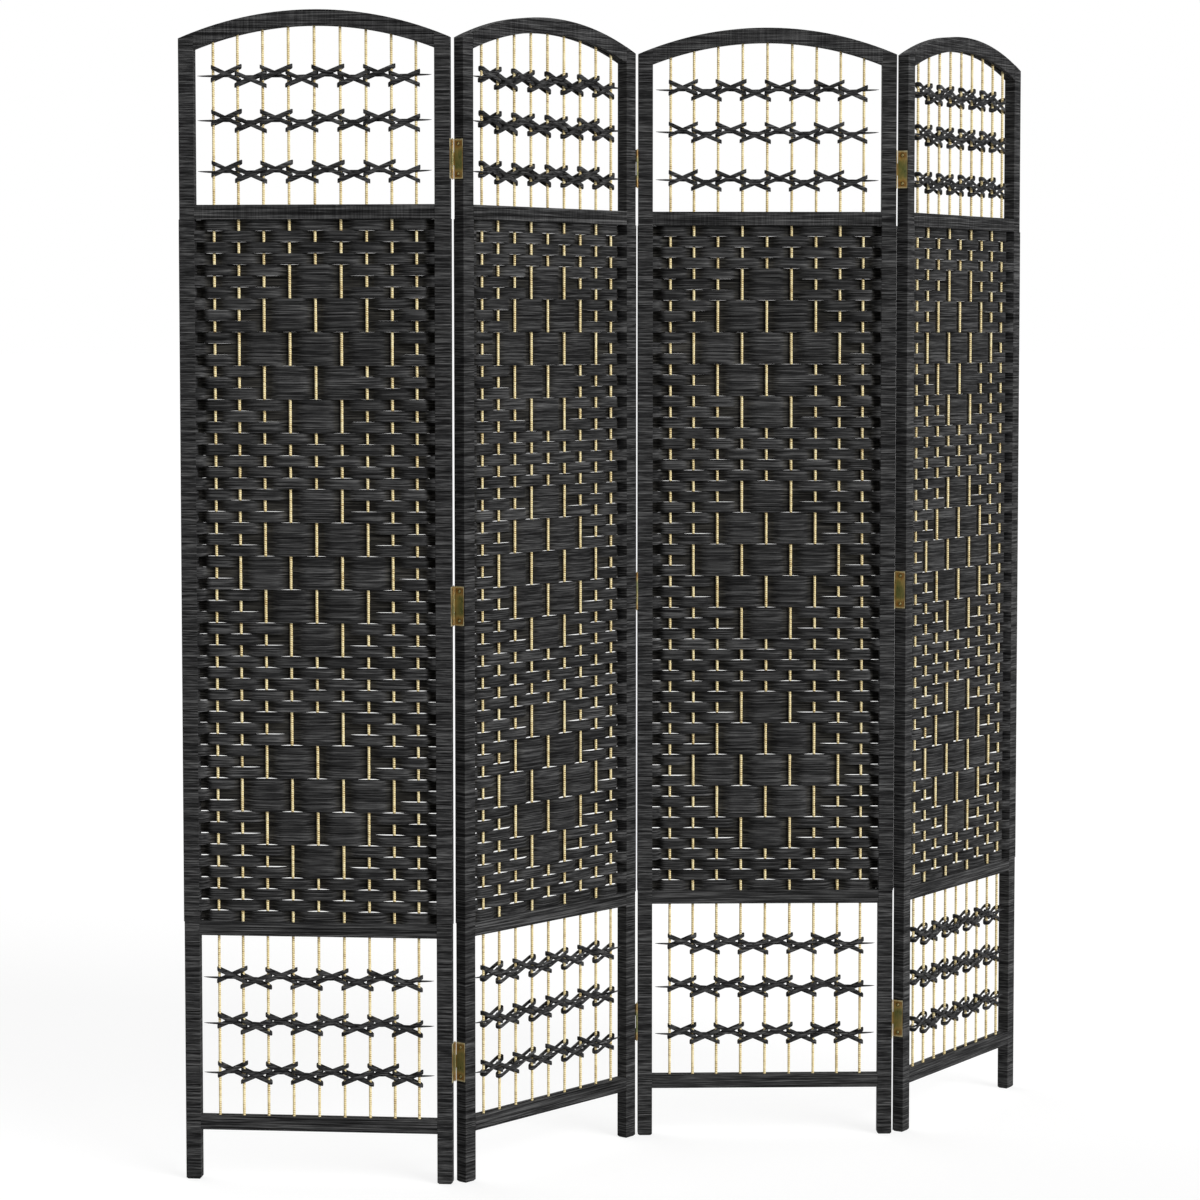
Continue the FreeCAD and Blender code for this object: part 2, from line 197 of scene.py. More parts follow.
# Cane finish: shares of mottling, helical stripe and patches in the colour
CANE_RAMP = ((0.34, (0.30, 0.185, 0.07)), (0.43, (0.66, 0.50, 0.22)),
             (0.53, (0.84, 0.71, 0.38)), (0.65, (0.91, 0.81, 0.52)))
CANE_MOTTLE = (60, 60, 220)
CANE_PATCHES = (25, 25, 22)
MOTTLE_SHARE = 0.52
STRIPE_SHARE = 0.24
PATCH_SHARE = 0.25

# Brass finish; zones are where a rise starts and ends on a leaf, and its height
OLIVE_BRASS = (0.165, 0.175, 0.080)
GOLD_BRASS = (0.340, 0.265, 0.115)
BROWN_BRASS = (0.235, 0.130, 0.040)
PALE_BRASS = (0.540, 0.485, 0.310)
BRASS_RAMP = ((0.26, OLIVE_BRASS), (0.40, GOLD_BRASS), (0.54, BROWN_BRASS),
              (0.66, GOLD_BRASS), (0.84, PALE_BRASS))
BRASS_PATCHES = (90, 90, 45)
BRASS_SCRATCHES = (900, 900, 60)
BRASS_PATCH_SHARE = 0.45
BRASS_SCRATCH_SHARE = 0.15
SCREW_SHADE_SHARE = 0.9
LEAF_END_ZONE = (0.35, 0.8, 0.22)
LEAF_RIM_ZONE = (0.88, 0.97, 0.3)
KNUCKLE_ZONE = (1.02, 1.10, 0.3)

# Stage: metres, and degrees for the spread of a light
WORLD_BRIGHTNESS = 0.42
FLOOR_HALF_SIZE = 200.0
FLOOR_SHADE = 0.3
FLOOR_GLOW = 0.76
FRONT_LIGHT = {"place": (1.5, -4.5, 1.8), "strength": 2.85, "spread": 40.0}
BACK_LIGHT = {"place": (-1.5, 4.5, 2.2), "strength": 1.4, "spread": 60.0}

# Camera, fitted to the photograph's edges: metres, degrees, millimetres for the lens and the sensor, and the
# shift as a share of the sensor
CAMERA_PLACE = (-2.4550, -4.6873, 1.2356)
CAMERA_HEADING = 26.787
CAMERA_TILT = 3.690
CAMERA_LENS = 104.90
CAMERA_SENSOR = 36.0
CAMERA_SHIFT = -0.0333
CAMERA_REACH = 600.0


# Panel frames

class Panel:
    """Placement and heights of one panel, read from its CAD nodes."""

    def __init__(self, number):
        self.number = number
        self.name = "panel_%d" % number
        left = self.middle("left_stile")
        right = self.middle("right_stile")
        across = (right - left).normalized()
        into = Vector((-across.y, across.x, 0))
        self.width = (right - left).length / MM + STILE_WIDTH - STILE_WRAP
        corner = (left + right) / 2 - across * (self.width / 2 * MM) - into * (MID_DEPTH * MM)
        self.turn = math.atan2(across.y, across.x)
        self.matrix = Matrix.Translation(corner) @ Matrix.Rotation(self.turn, 4, "Z")

    def box(self, node):
        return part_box("%s_%s" % (self.name, node))

    def middle(self, node):
        low, high = self.box(node)
        return Vector(((low.x + high.x) / 2, (low.y + high.y) / 2, 0))

    def base(self, node):
        return self.box(node)[0].z / MM

    def top(self, node):
        return self.box(node)[1].z / MM

    def rod_x(self, index):
        outermost = (ROD_COUNT - 1) / 2
        step = index - outermost
        return self.width / 2 + ROD_PITCH * step - ROD_DRAW_IN * (step / outermost) ** 3

    def rod_top(self, index):
        """Top of the CAD rod at this place, found among the rods' own points."""
        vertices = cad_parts[self.name + "_warp_rods"].data.vertices
        inverse = self.matrix.inverted()
        x = self.rod_x(index)
        places = [inverse @ vertex.co for vertex in vertices]
        return max(p.z for p in places if abs(p.x / MM - x) < ROD_PITCH / 2) / MM


# Mesh helpers

class Skin:
    """Points and faces gathered from runs of rings, in millimetres, with values that the materials read."""

    def __init__(self):
        self.points = []
        self.faces = []
        self.values = {label: [] for label in ("tone", "dip", "wrap_cosine", "wrap_sine", "wrap_along")}

    def add(self, rings, closed=False, tone=0.0, **values):
        """Joins rings of equally many points into a tube; open runs get end caps."""
        count, sides = len(rings), len(rings[0])
        start = len(self.points)
        for ring in rings:
            self.points.extend(ring)
        values["tone"] = tone if isinstance(tone, list) else [tone] * (count * sides)
        for label, column in self.values.items():
            column.extend(values.get(label, [0.0] * (count * sides)))
        for i in range(count if closed else count - 1):
            here = start + i * sides
            there = start + (i + 1) % count * sides
            for j in range(sides):
                k = (j + 1) % sides
                self.faces.append((here + j, here + k, there + k, there + j))
        if not closed:
            self.faces.append(tuple(start + j for j in reversed(range(sides))))
            last = start + (count - 1) * sides
            self.faces.append(tuple(last + j for j in range(sides)))

    def piece(self, name, panel, material, slot, *replaced):
        """Makes the visible object, which moves with its panel and stands for CAD nodes."""
        mesh = bpy.data.meshes.new(name)
        mesh.from_pydata([(x * MM, y * MM, z * MM) for x, y, z in self.points], [], self.faces)
        mesh.validate()
        for label, column in self.values.items():
            if any(column):
                mesh.attributes.new(label, "FLOAT", "POINT").data.foreach_set("value", column)
        mesh.shade_smooth()
        mesh.set_sharp_from_angle(angle=math.radians(SMOOTH_ANGLE))
        mesh.materials.append(material)
        obj = bpy.data.objects.new(name, mesh)
        bpy.context.scene.collection.objects.link(obj)
        obj.matrix_world = panel.matrix
        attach(obj, panel.name)
        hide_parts(*replaced)


def between(low, high, value):
    """Value, kept from low to high."""
    return min(high, max(low, value))


def ease(t):
    """Smooth step from 0 to 1 along a half cosine."""
    return (1 - math.cos(math.pi * t)) / 2


# Weave

def shown_rods(row):
    """Rods that lie in front of the ribbon of this row, counted from the top."""
    if row == SLIP_ROW:
        return SLIP_SHOWN
    for first in MEDALLION_FIRST_ROWS:
        if row - first in MEDALLION_BANDS:
            return MEDALLION_BANDS[row - first]
    return PLAIN_ODD if row % 2 else PLAIN_EVEN


def crossing(t, y0, y1):
    """Share of the way from depth y0 to y1: level at the rods, longest in front, and steep between them."""
    if max(abs(y0), abs(y1)) == RIBBON_OFF_STILES:
        before = after = END_LEVEL
    elif y0 < y1:
        before, after = FRONT_LEVEL, BACK_LEVEL
    else:
        before, after = BACK_LEVEL, FRONT_LEVEL
    return ease(between(0.0, 1.0, (t - before) / (1 - before - after)))


def ribbon_marks(panel, row, rng):
    """Turning points (x, offset from mid-depth) of a ribbon that winds through the rods."""
    shown = shown_rods(row)
    behind = 1 if row % 2 else -1
    end, turn = behind * RIBBON_OFF_STILES, -behind * RIBBON_OFF_RODS
    left, right = STILE_WIDTH - RIBBON_END_SINK, panel.width - STILE_WIDTH + RIBBON_END_SINK
    marks = [(left, end), (left + RIBBON_TURN_START, turn)]
    for index in range(ROD_COUNT):
        side = 1 if index + 1 in shown else -1
        depth = RIBBON_OFF_RODS + rng.uniform(0, ROW_DEPTH_JITTER)
        marks.append((panel.rod_x(index), side * depth))
    return marks + [(right - RIBBON_TURN_START, turn), (right, end)]


def depth_at(marks, x):
    """Offset of a ribbon from mid-depth at x."""
    for (x0, y0), (x1, y1) in zip(marks, marks[1:]):
        if x <= x1:
            return y0 + (y1 - y0) * crossing((x - x0) / (x1 - x0), y0, y1)
    return marks[-1][1]


def ribbon_path(marks):
    """Points (x, offset from mid-depth) along a ribbon, closer together where it crosses between rods."""
    path = []
    for (x0, y0), (x1, y1) in zip(marks, marks[1:]):
        samples = SAMPLES_PER_SPAN if abs(y1 - y0) > RIBBON_OFF_RODS else SAMPLES_PER_FLOAT
        for i in range(samples):
            x = x0 + (x1 - x0) * i / samples
            path.append((x, depth_at(marks, x)))
    return path + [marks[-1]]


def edge_shift(x, y, neighbour):
    """How far an edge reaches past the row's line: over the next ribbon where they lie side by side, short
    of it where rods part them, and well past it beside the stiles."""
    if not neighbour:
        return -ROW_SLIT / 2
    gap = abs(y - depth_at(neighbour, x))
    apart = min(1.0, gap / (2 * RIBBON_OFF_RODS))
    widest = 2 * (RIBBON_OFF_RODS + ROW_DEPTH_JITTER)
    beyond = max(0.0, gap - widest) / (2 * RIBBON_OFF_STILES - widest)
    return ROW_OVERLAP / 2 * (1 - apart) - ROW_SLIT / 2 * apart + END_OVERLAP * beyond


def ribbon_rings(path, z, half, waves, above, below):
    """Rings of a thin crowned ribbon that stands on edge along the path and bulges away from the rods."""
    rings = []
    for x, y in path:
        middle = z + sum(size * math.sin(x / length + phase) for size, length, phase in waves)
        high = middle + half + edge_shift(x, y, above)
        low = middle - half - edge_shift(x, y, below)
        swell = RIBBON_CROWN * between(-1.0, 1.0, y / RIBBON_OFF_RODS)
        front, back = [], []
        for v in RIBBON_PROFILE:
            crown = swell * (1 - (v / RIBBON_EDGE) ** 2)
            thin = RIBBON_THICKNESS / 2 * (RIBBON_EDGE_SHARE if abs(v) == RIBBON_EDGE else 1.0)
            place = low + (v + RIBBON_EDGE) * (high - low)
            front.append((x, MID_DEPTH + y + crown - thin, place))
            back.append((x, MID_DEPTH + y + crown + thin, place))
        rings.append(front + back[::-1])
    return rings


def woven_ribbons(panel, material):
    rng = random.Random(WEAVE_SEED + panel.number)
    low, high = panel.top("lower_rail"), panel.base("upper_rail")
    pitch = (high - low) / ROW_COUNT
    rows = [None] + [ribbon_marks(panel, row, rng) for row in range(1, ROW_COUNT + 1)] + [None]
    skin = Skin()
    for row in range(1, ROW_COUNT + 1):
        z = high - (row - 0.5) * pitch + rng.uniform(-ROW_LEVEL_JITTER, ROW_LEVEL_JITTER)
        waves = [(rng.uniform(*WAVE_SIZES), rng.uniform(*WAVE_LENGTHS), rng.uniform(0, math.tau))
                 for _ in range(WAVES_PER_ROW)]
        path = ribbon_path(rows[row])
        rings = ribbon_rings(path, z, pitch / 2, waves, rows[row - 1], rows[row + 1])
        # Painted shade: how deep the ribbon dips behind the rods, for the weave's darkening there
        dips = [between(0.0, 1.0, (y / RIBBON_OFF_RODS + DIP_START) / DIP_RUN) for x, y in path]
        skin.add(rings, tone=rng.uniform(-1, 1), dip=[dip for dip in dips for _ in rings[0]])
    skin.piece(panel.name + "_woven_ribbons", panel, material, "woven_fibre", panel.name + "_weft_ribbons")


# Rods

def cane_rods(panel, material):
    rng = random.Random(ROD_SEED + panel.number)
    base = panel.top("bottom_rail") - ROD_SEAT_DEPTH
    angles = [math.tau * j / ROD_SIDES for j in range(ROD_SIDES)]
    skin = Skin()
    for index in range(ROD_COUNT):
        x, top = panel.rod_x(index), panel.rod_top(index)
        count = int((top - base) / ROD_STEP) + 1
        phase = rng.uniform(0, math.tau)
        rings, wrap = [], {"wrap_cosine": [], "wrap_sine": [], "wrap_along": []}
        for i in reversed(range(count + 1)):
            z = base + (top - base) * i / count
            sway = ROD_SWAY * math.sin(z / ROD_SWAY_LENGTH + phase) * math.sin(math.pi * i / count)
            swell = ROD_SWELL * math.sin(z / ROD_SWELL_LENGTH + phase)
            radius = ROD_RADIUS * (1 + swell + rng.uniform(-ROD_UNEVENNESS, ROD_UNEVENNESS))
            rings.append([(x + sway + radius * math.cos(a), MID_DEPTH + radius * math.sin(a), z)
                          for a in angles])
            wrap["wrap_cosine"].extend(math.cos(a + phase) for a in angles)
            wrap["wrap_sine"].extend(math.sin(a + phase) for a in angles)
            wrap["wrap_along"].extend(z * MM for a in angles)
        skin.add(rings, tone=rng.uniform(-1, 1), **wrap)
    skin.piece(panel.name + "_cane_rods", panel, material, "warp_rods", panel.name + "_warp_rods")


# Knot rows

def loop_plan(left, right):
    """Points (x, side, bulge) of a path round two rods: front, round the right one, back, round the left."""
    plan = []
    for start, end, side in ((left, right, -1.0), (right, left, 1.0)):
        for i in range(ARM_STRAIGHT_SAMPLES):
            plan.append((start + (end - start) * i / ARM_STRAIGHT_SAMPLES, side, 0.0))
        for i in range(ARM_END_SAMPLES):
            angle = math.pi * i / ARM_END_SAMPLES
            plan.append((end, side * math.cos(angle), -side * math.sin(angle)))
    return plan


def loop_rings(left, right, overhangs, centre, fall, layer, rng):
    """Rings of a closed band round two neighbouring rods, falling from end to end by twice fall."""
    depth = ARM_STAND_OFF + layer * ARM_LAYER
    left_end, right_end = [overhang + layer * ARM_LAYER_OVERHANG for overhang in overhangs]
    half = ARM_HEIGHT / 2 * rng.uniform(*ARM_HEIGHT_RANGE)
    middle, reach = (left + right) / 2, (right - left + left_end + right_end) / 2
    rings = []
    for rod_x, side, bulge in loop_plan(left, right):
        x = rod_x + bulge * (right_end if bulge > 0 else left_end)
        z = centre - fall * (x - middle) / reach
        ring = []
        for out, v in ARM_PROFILE:
            shift = out * ARM_THICKNESS
            ring.append((x + bulge * shift, MID_DEPTH + side * depth + side * shift, z + v * half))
        rings.append(ring)
    return rings


def strand_rings(panel, z, rng):
    """Rings of the thin strand that runs through the loops and tapers to a point beside each stile."""
    left, right = STILE_WIDTH + STRAND_TIP_GAP, panel.width - STILE_WIDTH - STRAND_TIP_GAP
    first, last = panel.rod_x(0), panel.rod_x(ROD_COUNT - 1)
    two_rods = 2 * (last - first) / (ROD_COUNT - 1)
    off = ROD_RADIUS + STRAND_THICKNESS / 2
    phase = rng.uniform(0, math.tau)
    rings = []
    for i in range(STRAND_SAMPLES):
        x = left + (right - left) * i / (STRAND_SAMPLES - 1)
        inset = min(x - left, right - x)
        taper = min(1.0, inset / (first - left)) ** STRAND_TAPER
        half = STRAND_TIP_HEIGHT / 2 + (STRAND_HEIGHT - STRAND_TIP_HEIGHT) / 2 * taper
        y = -off * math.cos(math.tau * (x - first) / two_rods) if first <= x <= last else -off
        rise = STRAND_TIP_RISE * (1 - taper) + STRAND_WAVE * math.sin(x / STRAND_WAVE_LENGTH + phase)
        thin = STRAND_THICKNESS / 2 * (STRAND_TIP_SHARE + (1 - STRAND_TIP_SHARE) * taper)
        rings.append([(x, MID_DEPTH + y + a * thin, z + rise + b * half) for a, b in STRAND_PROFILE])
    return rings


def knot_row(skin, panel, z, rng):
    for gap in range(ROD_COUNT - 1):
        left, right = panel.rod_x(gap), panel.rod_x(gap + 1)
        overhangs = (ARM_LEFT_OVERHANG if gap else ARM_FIRST_OVERHANG, ARM_RIGHT_OVERHANG)
        shift = -ARM_SHIFT if gap % 2 else ARM_SHIFT
        centre = z + shift + rng.uniform(-ARM_SHIFT_JITTER, ARM_SHIFT_JITTER)
        for layer, swing in enumerate((ARM_SWING, -ARM_SWING)):
            fall = swing + rng.uniform(-ARM_SWING_JITTER, ARM_SWING_JITTER)
            rings = loop_rings(left, right, overhangs, centre, fall, layer, rng)
            skin.add(rings, closed=True, tone=rng.uniform(-1, 1))
    skin.add(strand_rings(panel, z, rng)[::-1], tone=rng.uniform(-1, 0))


def knots(panel, window, base, spaces, material):
    rng = random.Random("%d %s" % (panel.number, window))
    skin = Skin()
    for row in range(1, len(spaces)):
        knot_row(skin, panel, base + sum(spaces[:row]), rng)
    skin.piece("%s_%s_knot_loops" % (panel.name, window), panel, material, "knotted_fibre",
               "%s_%s_knots" % (panel.name, window))


# Screws

def screw_rings(x, y, z, outward):
    """Rings and tones of a dished, slotted head on its shank, turned about x, from the tip outwards; the
    tones paint shade round the foot of the head and in the slot, and a highlight on its top.
    """
    shank = [(-SCREW_LENGTH, SCREW_TIP_SHARE * SCREW_RADIUS),
             (-SCREW_LENGTH + SCREW_TIP_LENGTH, SCREW_RADIUS),
             (0.0, SCREW_RADIUS)]
    head = [(SCREW_HEAD_HEIGHT * rise, SCREW_HEAD_RADIUS * reach) for rise, reach in SCREW_HEAD_PROFILE]
    rings, tones = [], []
    for step, (along, radius) in enumerate(shank + head, -len(shank)):
        ring = []
        for j in range(SCREW_SIDES):
            angle = math.tau * (j + 0.5) / SCREW_SIDES
            across, up = radius * math.cos(angle), radius * math.sin(angle)
            off_slot = abs(across * SLOT_DIRECTION[0] - up * SLOT_DIRECTION[1])
            in_slot = step >= SLOT_FIRST_RING and off_slot < SLOT_HALF_WIDTH
            place = max(SLOT_FLOOR, along - SLOT_DEPTH) if in_slot else along
            ring.append((x + outward * place, y + across, z + up))
            # Painted shade in the slot and round the foot of the head, painted highlight on its top
            tones.append(SLOT_SHADE if in_slot else SCREW_SHADE_AND_HIGHLIGHT[max(0, step)])
        rings.append(ring if outward < 0 else ring[::-1])
    return rings, tones


def hinge_screws(fold, leaf, panel, material):
    outward = 1 if leaf == "left" else -1
    face = panel.width + LEAF_THICKNESS if leaf == "left" else -LEAF_THICKNESS
    offset = SCREW_OFFSET if fold % 2 else -SCREW_OFFSET
    skin = Skin()
    for height in HINGE_HEIGHTS:
        for z in (height - HINGE_LENGTH / 2 + SCREW_INSET, height + HINGE_LENGTH / 2 - SCREW_INSET):
            rings, tones = screw_rings(face, MID_DEPTH + offset, z, outward)
            skin.add(rings, tone=tones)
    node = "fold_%d_%s_screws" % (fold, leaf)
    skin.piece("fold_%d_%s_slotted_screws" % (fold, leaf), panel, material, "screw_brass", node)


# Materials

class Shader:
    """A material's node tree, with short calls to add and join nodes."""

    def __init__(self, name):
        self.material = bpy.data.materials.new(name)
        self.material.use_nodes = True
        self.tree = self.material.node_tree
        self.surface = self.tree.nodes["Principled BSDF"]

    def add(self, kind, links=None, inputs=None, **settings):
        node = self.tree.nodes.new("ShaderNode" + kind)
        for label, value in settings.items():
            setattr(node, label, value)
        for label, value in (inputs or {}).items():
            node.inputs[label].default_value = value
        for label, socket in (links or {}).items():
            self.tree.links.new(socket, node.inputs[label])
        return node

    def coordinates(self, turn, scale):
        """Object coordinates turned into the panel's frame and scaled along its axes."""
        place = self.add("TexCoord").outputs["Object"]
        turned = self.add("VectorRotate", {"Vector": place}, {"Angle": -turn}, rotation_type="Z_AXIS")
        return self.add("Mapping", {"Vector": turned.outputs["Vector"]}, {"Scale": scale}).outputs["Vector"]

    def noise(self, turn, scale, detail, roughness):
        inputs = {"Scale": 1.0, "Detail": detail, "Roughness": roughness}
        return self.add("TexNoise", {"Vector": self.coordinates(turn, scale)}, inputs).outputs["Fac"]

    def math(self, operation, first, second=0.0):
        node = self.add("Math", operation=operation)
        for socket, value in zip(node.inputs, (first, second)):
            if isinstance(value, (int, float)):
                socket.default_value = value
            else:
                self.tree.links.new(value, socket)
        return node.outputs["Value"]

    def line(self, value, slope, start):
        """A value times a slope, plus a start."""
        return self.math("ADD", self.math("MULTIPLY", value, slope), start)

    def total(self, *terms):
        """Sum of values, each times its share."""
        products = [self.math("MULTIPLY", value, share) for value, share in terms]
        result = products[0]
        for product in products[1:]:
            result = self.math("ADD", result, product)
        return result

    def ramp(self, factor, stops):
        node = self.add("ValToRGB", {"Fac": factor})
        elements = node.color_ramp.elements
        while len(elements) < len(stops):
            elements.new(0.5)
        for element, (position, colour) in zip(elements, stops):
            element.position = position
            element.color = (*colour, 1)
        return node.outputs["Color"]

    def scaled(self, colour, factor):
        """Colour multiplied by a factor."""
        node = self.add("VectorMath", {0: colour}, operation="SCALE")
        self.tree.links.new(factor, node.inputs["Scale"])
        return node.outputs["Vector"]

    def value(self, label):
        """A value that the mesh carries on its points."""
        return self.add("Attribute", attribute_name=label).outputs["Fac"]

    def rise(self, value, start, end, height):
        """Smooth step from 0 to a height as the value goes from start to end."""
        inputs = {"From Min": start, "From Max": end, "To Max": height}
        node = self.add("MapRange", {"Value": value}, inputs, interpolation_type="SMOOTHSTEP")
        return node.outputs["Result"]

    def bump(self, height, distance, strength):
        node = self.add("Bump", {"Height": height}, {"Distance": distance, "Strength": strength})
        self.join(node.outputs["Normal"], "Normal")

    def join(self, socket, label):
        self.tree.links.new(socket, self.surface.inputs[label])

    def set(self, **values):
        for label, value in values.items():
            self.surface.inputs[label.replace("_", " ")].default_value = value


def fibre_material(name, turn, streaks, cross=None, tone_share=0.0, shaded_dips=False, level=1.0):
    """Dark paper fibre: broad and fine, pale and black streaks along the strip, and a faint cross grain."""
    shader = Shader(name)
    broad = shader.noise(turn, streaks[0], detail=2.0, roughness=0.55)
    fine = shader.noise(turn, streaks[1], detail=3.0, roughness=0.65)
    mixed = shader.total((broad, 0.5), (fine, 0.5))
    if cross:
        grain = shader.noise(turn, cross, detail=1.0, roughness=0.5)
        uneven = shader.math("MULTIPLY", shader.math("SUBTRACT", grain, 0.5), CROSS_SHARE)
        mixed = shader.math("ADD", mixed, uneven)
    colour = shader.ramp(mixed, FIBRE_RAMP)
    colour = shader.scaled(colour, shader.line(shader.value("tone"), tone_share, level))
    # Painted shade: the weave darkens and warms where a ribbon dips behind the rods
    if shaded_dips:
        painted_shade = shader.ramp(shader.value("dip"), DIP_SHADE_RAMP)
        colour = shader.add("VectorMath", {0: colour, 1: painted_shade}, operation="MULTIPLY").outputs["Vector"]
    shader.join(colour, "Base Color")
    shader.join(shader.line(fine, slope=0.3, start=0.62), "Roughness")
    shader.bump(mixed, distance=0.0009, strength=0.6)
    shader.set(Specular_IOR_Level=0.06)
    return shader.material


def cane_material():
    """Tan twisted cord: helical brown marks, mottling and a pale ground."""
    shader = Shader("tan_cane")
    cosine, sine, along = [shader.value(label) for label in ("wrap_cosine", "wrap_sine", "wrap_along")]
    phase = shader.math("MULTIPLY", along, math.tau / (ROD_TWIST_LEAD * MM))
    wave = shader.total((shader.math("SINE", phase), cosine), (shader.math("COSINE", phase), sine))
    stripe = shader.line(wave, slope=0.5, start=0.5)
    mottle = shader.noise(0.0, CANE_MOTTLE, detail=4.0, roughness=0.6)
    patch = shader.noise(0.0, CANE_PATCHES, detail=2.0, roughness=0.5)
    mixed = shader.total((mottle, MOTTLE_SHARE), (stripe, STRIPE_SHARE), (patch, PATCH_SHARE))
    shader.join(shader.ramp(mixed, CANE_RAMP), "Base Color")
    shader.bump(mixed, distance=0.0006, strength=0.6)
    shader.set(Roughness=0.62, Specular_IOR_Level=0.3)
    return shader.material


def leaf_places(shader, panel):
    """How near a point of a hinge leaf is to its long edges and its ends: 0 in the middle, 1 at the rim."""
    corner = Matrix.Rotation(-panel.turn, 4, "Z") @ panel.matrix.translation
    place = shader.add("SeparateXYZ", {"Vector": shader.coordinates(panel.turn, (1, 1, 1))}).outputs
    depth = shader.math("SUBTRACT", place["Y"], corner.y + MID_DEPTH * MM)
    side = shader.math("DIVIDE", shader.math("ABSOLUTE", depth), LEAF_HALF_WIDTH * MM)
    levels = [shader.math("ABSOLUTE", shader.math("SUBTRACT", place["Z"], height * MM))
              for height in HINGE_HEIGHTS]
    level = shader.math("MINIMUM", shader.math("MINIMUM", levels[0], levels[1]), levels[2])
    return side, shader.math("DIVIDE", level, HINGE_LENGTH / 2 * MM)


def brass_material(name, panel=None):
    """Dulled antique brass: olive, browner about the screws, and worn pale along a leaf's rim."""
    shader = Shader(name)
    patch = shader.noise(0.0, BRASS_PATCHES, detail=3.0, roughness=0.6)
    scratch = shader.noise(0.0, BRASS_SCRATCHES, detail=2.0, roughness=0.5)
    mixed = shader.total((patch, BRASS_PATCH_SHARE), (scratch, BRASS_SCRATCH_SHARE))
    if panel:
        side, level = leaf_places(shader, panel)
        mixed = shader.math("ADD", mixed, shader.rise(level, *LEAF_END_ZONE))
        rim = shader.rise(shader.math("MAXIMUM", side, level), *LEAF_RIM_ZONE)
        knuckle = shader.rise(side, *KNUCKLE_ZONE)
        mixed = shader.math("ADD", mixed, shader.math("SUBTRACT", rim, knuckle))
    colour = shader.ramp(mixed, BRASS_RAMP)
    # Screws: their tone paints shade round the foot of each head and in its slot, and a highlight on its top
    if not panel:
        colour = shader.scaled(colour, shader.line(shader.value("tone"), SCREW_SHADE_SHARE, 1.0))
    shader.join(colour, "Base Color")
    shader.join(shader.line(mixed, slope=0.3, start=0.2), "Roughness")
    shader.bump(scratch, distance=0.0002, strength=0.4)
    shader.set(Metallic=0.7)
    return shader.material


def dress_node(name, material):
    """Gives a CAD node its finish."""
    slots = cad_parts[name].data.materials
    slots.clear()
    slots.append(material)


# Stage

def seen_directly(tree):
    """Socket that is 1 for rays from the camera, reflections and glass, and 0 for other light."""
    path = tree.nodes.new("ShaderNodeLightPath")
    seen = path.outputs["Is Camera Ray"]
    for label in ("Is Glossy Ray", "Is Transmission Ray"):
        joined = tree.nodes.new("ShaderNodeMath")
        joined.operation = "MAXIMUM"
        tree.links.new(seen, joined.inputs[0])
        tree.links.new(path.outputs[label], joined.inputs[1])
        seen = joined.outputs["Value"]
    return seen


def make_world():
    """White world that looks fully bright but lights the screen less."""
    world = bpy.data.worlds.new("white_world")
    world.use_nodes = True
    bpy.context.scene.world = world
    tree = world.node_tree
    seen = seen_directly(tree)
    background = tree.nodes["Background"]
    background.inputs["Color"].default_value = (1, 1, 1, 1)
    strength = tree.nodes.new("ShaderNodeMapRange")
    strength.inputs["To Min"].default_value = WORLD_BRIGHTNESS
    strength.inputs["To Max"].default_value = 1.0
    tree.links.new(seen, strength.inputs["Value"])
    tree.links.new(strength.outputs["Result"], background.inputs["Strength"])


def make_floor():
    """White floor: a glow that only the camera and reflections see, on a matt ground that takes shadow."""
    mesh = bpy.data.meshes.new("floor")
    signs = ((-1, -1), (1, -1), (1, 1), (-1, 1))
    corners = [(x * FLOOR_HALF_SIZE, y * FLOOR_HALF_SIZE, 0) for x, y in signs]
    mesh.from_pydata(corners, [], [(0, 1, 2, 3)])
    floor = bpy.data.objects.new("floor", mesh)
    bpy.context.scene.collection.objects.link(floor)
    material = bpy.data.materials.new("white_floor")
    material.use_nodes = True
    tree = material.node_tree
    seen = seen_directly(tree)
    diffuse = tree.nodes.new("ShaderNodeBsdfDiffuse")
    diffuse.inputs["Color"].default_value = (FLOOR_SHADE, FLOOR_SHADE, FLOOR_SHADE, 1)
    light = tree.nodes.new("ShaderNodeEmission")
    light_strength = tree.nodes.new("ShaderNodeMath")
    light_strength.operation = "MULTIPLY"
    light_strength.inputs[1].default_value = FLOOR_GLOW
    tree.links.new(seen, light_strength.inputs[0])
    tree.links.new(light_strength.outputs["Value"], light.inputs["Strength"])
    both = tree.nodes.new("ShaderNodeAddShader")
    tree.links.new(diffuse.outputs["BSDF"], both.inputs[0])
    tree.links.new(light.outputs["Emission"], both.inputs[1])
    tree.links.new(both.outputs["Shader"], tree.nodes["Material Output"].inputs["Surface"])
    mesh.materials.append(material)


def add_sun(name, place, strength, spread):
    """Even soft light that comes from the direction of a place, seen from the origin."""
    lamp = bpy.data.lights.new(name, "SUN")
    lamp.energy = strength
    lamp.angle = math.radians(spread)
    obj = bpy.data.objects.new(name, lamp)
    obj.location = place
    obj.rotation_euler = (-Vector(place)).to_track_quat("-Z", "Y").to_euler()
    bpy.context.scene.collection.objects.link(obj)


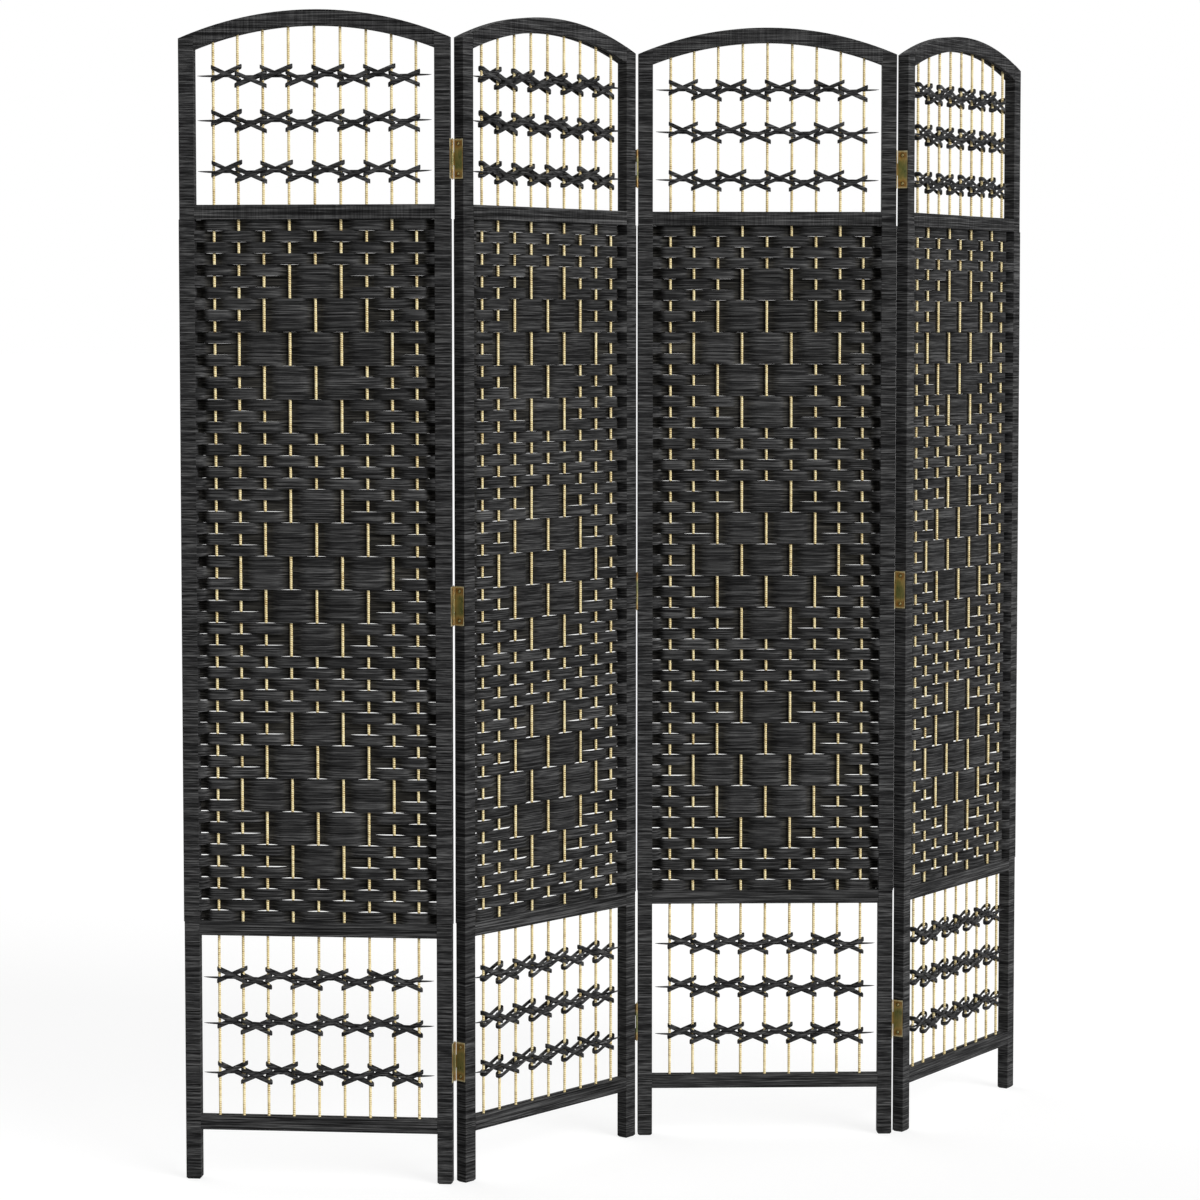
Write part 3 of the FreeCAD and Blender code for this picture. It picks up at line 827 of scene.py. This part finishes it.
def add_camera():
    camera = bpy.data.cameras.new("camera")
    camera.sensor_width = CAMERA_SENSOR
    camera.lens = CAMERA_LENS
    camera.shift_y = CAMERA_SHIFT
    camera.clip_end = CAMERA_REACH
    obj = bpy.data.objects.new("camera", camera)
    obj.location = CAMERA_PLACE
    obj.rotation_euler = (math.radians(90 - CAMERA_TILT), 0, math.radians(-CAMERA_HEADING))
    bpy.context.scene.collection.objects.link(obj)
    bpy.context.scene.camera = obj


# Assembly

def build_panel(panel, shared):
    turn = panel.turn
    # Painted light: this panel's share of the stiles' brightness
    level = PAINTED_STILE_LIGHT[panel.number - 1]
    stile = fibre_material("%s_stile_wrap" % panel.name, turn, STILE_STREAKS, level=level)
    rail = fibre_material("%s_rail_wrap" % panel.name, turn, RAIL_STREAKS)
    head = fibre_material("%s_head_wrap" % panel.name, turn, RAIL_STREAKS, cross=HEAD_CROSS_STREAKS)
    for finish, nodes in ((stile, ("left_stile", "right_stile")), (rail, ("lower_rail", "bottom_rail")),
                          (head, ("arch_rail", "upper_rail"))):
        for node in nodes:
            dress_node("%s_%s" % (panel.name, node), finish)
    woven_ribbons(panel, shared["weave"])
    cane_rods(panel, shared["cane"])
    knots(panel, "upper", panel.top("upper_rail"), UPPER_KNOT_SPACES, shared["knot"])
    knots(panel, "lower", panel.top("bottom_rail"), LOWER_KNOT_SPACES, shared["knot"])


def build_fold(fold, left_panel, right_panel, brass):
    for leaf, panel in (("left", left_panel), ("right", right_panel)):
        node = "fold_%d_%s_leaves" % (fold, leaf)
        dress_node(node, brass_material(node + "_brass", panel))
        hinge_screws(fold, leaf, panel, brass)
    dress_node("fold_%d_pins" % fold, brass)


def main():
    weave = fibre_material("woven_fibre", 0.0, WEAVE_STREAKS, tone_share=FIBRE_TONE_SHARE, shaded_dips=True,
                           level=WEAVE_LEVEL)
    knot = fibre_material("knotted_fibre", 0.0, KNOT_STREAKS, tone_share=FIBRE_TONE_SHARE)
    shared = {"weave": weave, "knot": knot, "cane": cane_material()}
    brass = brass_material("screw_brass")
    panels = [Panel(number) for number in range(1, PANEL_COUNT + 1)]
    for panel in panels:
        build_panel(panel, shared)
    for fold in range(1, PANEL_COUNT):
        build_fold(fold, panels[fold - 1], panels[fold], brass)
    make_world()
    make_floor()
    add_sun("front_light", **FRONT_LIGHT)
    add_sun("back_light", **BACK_LIGHT)
    add_camera()
    bpy.context.scene.view_settings.view_transform = "Standard"


main()
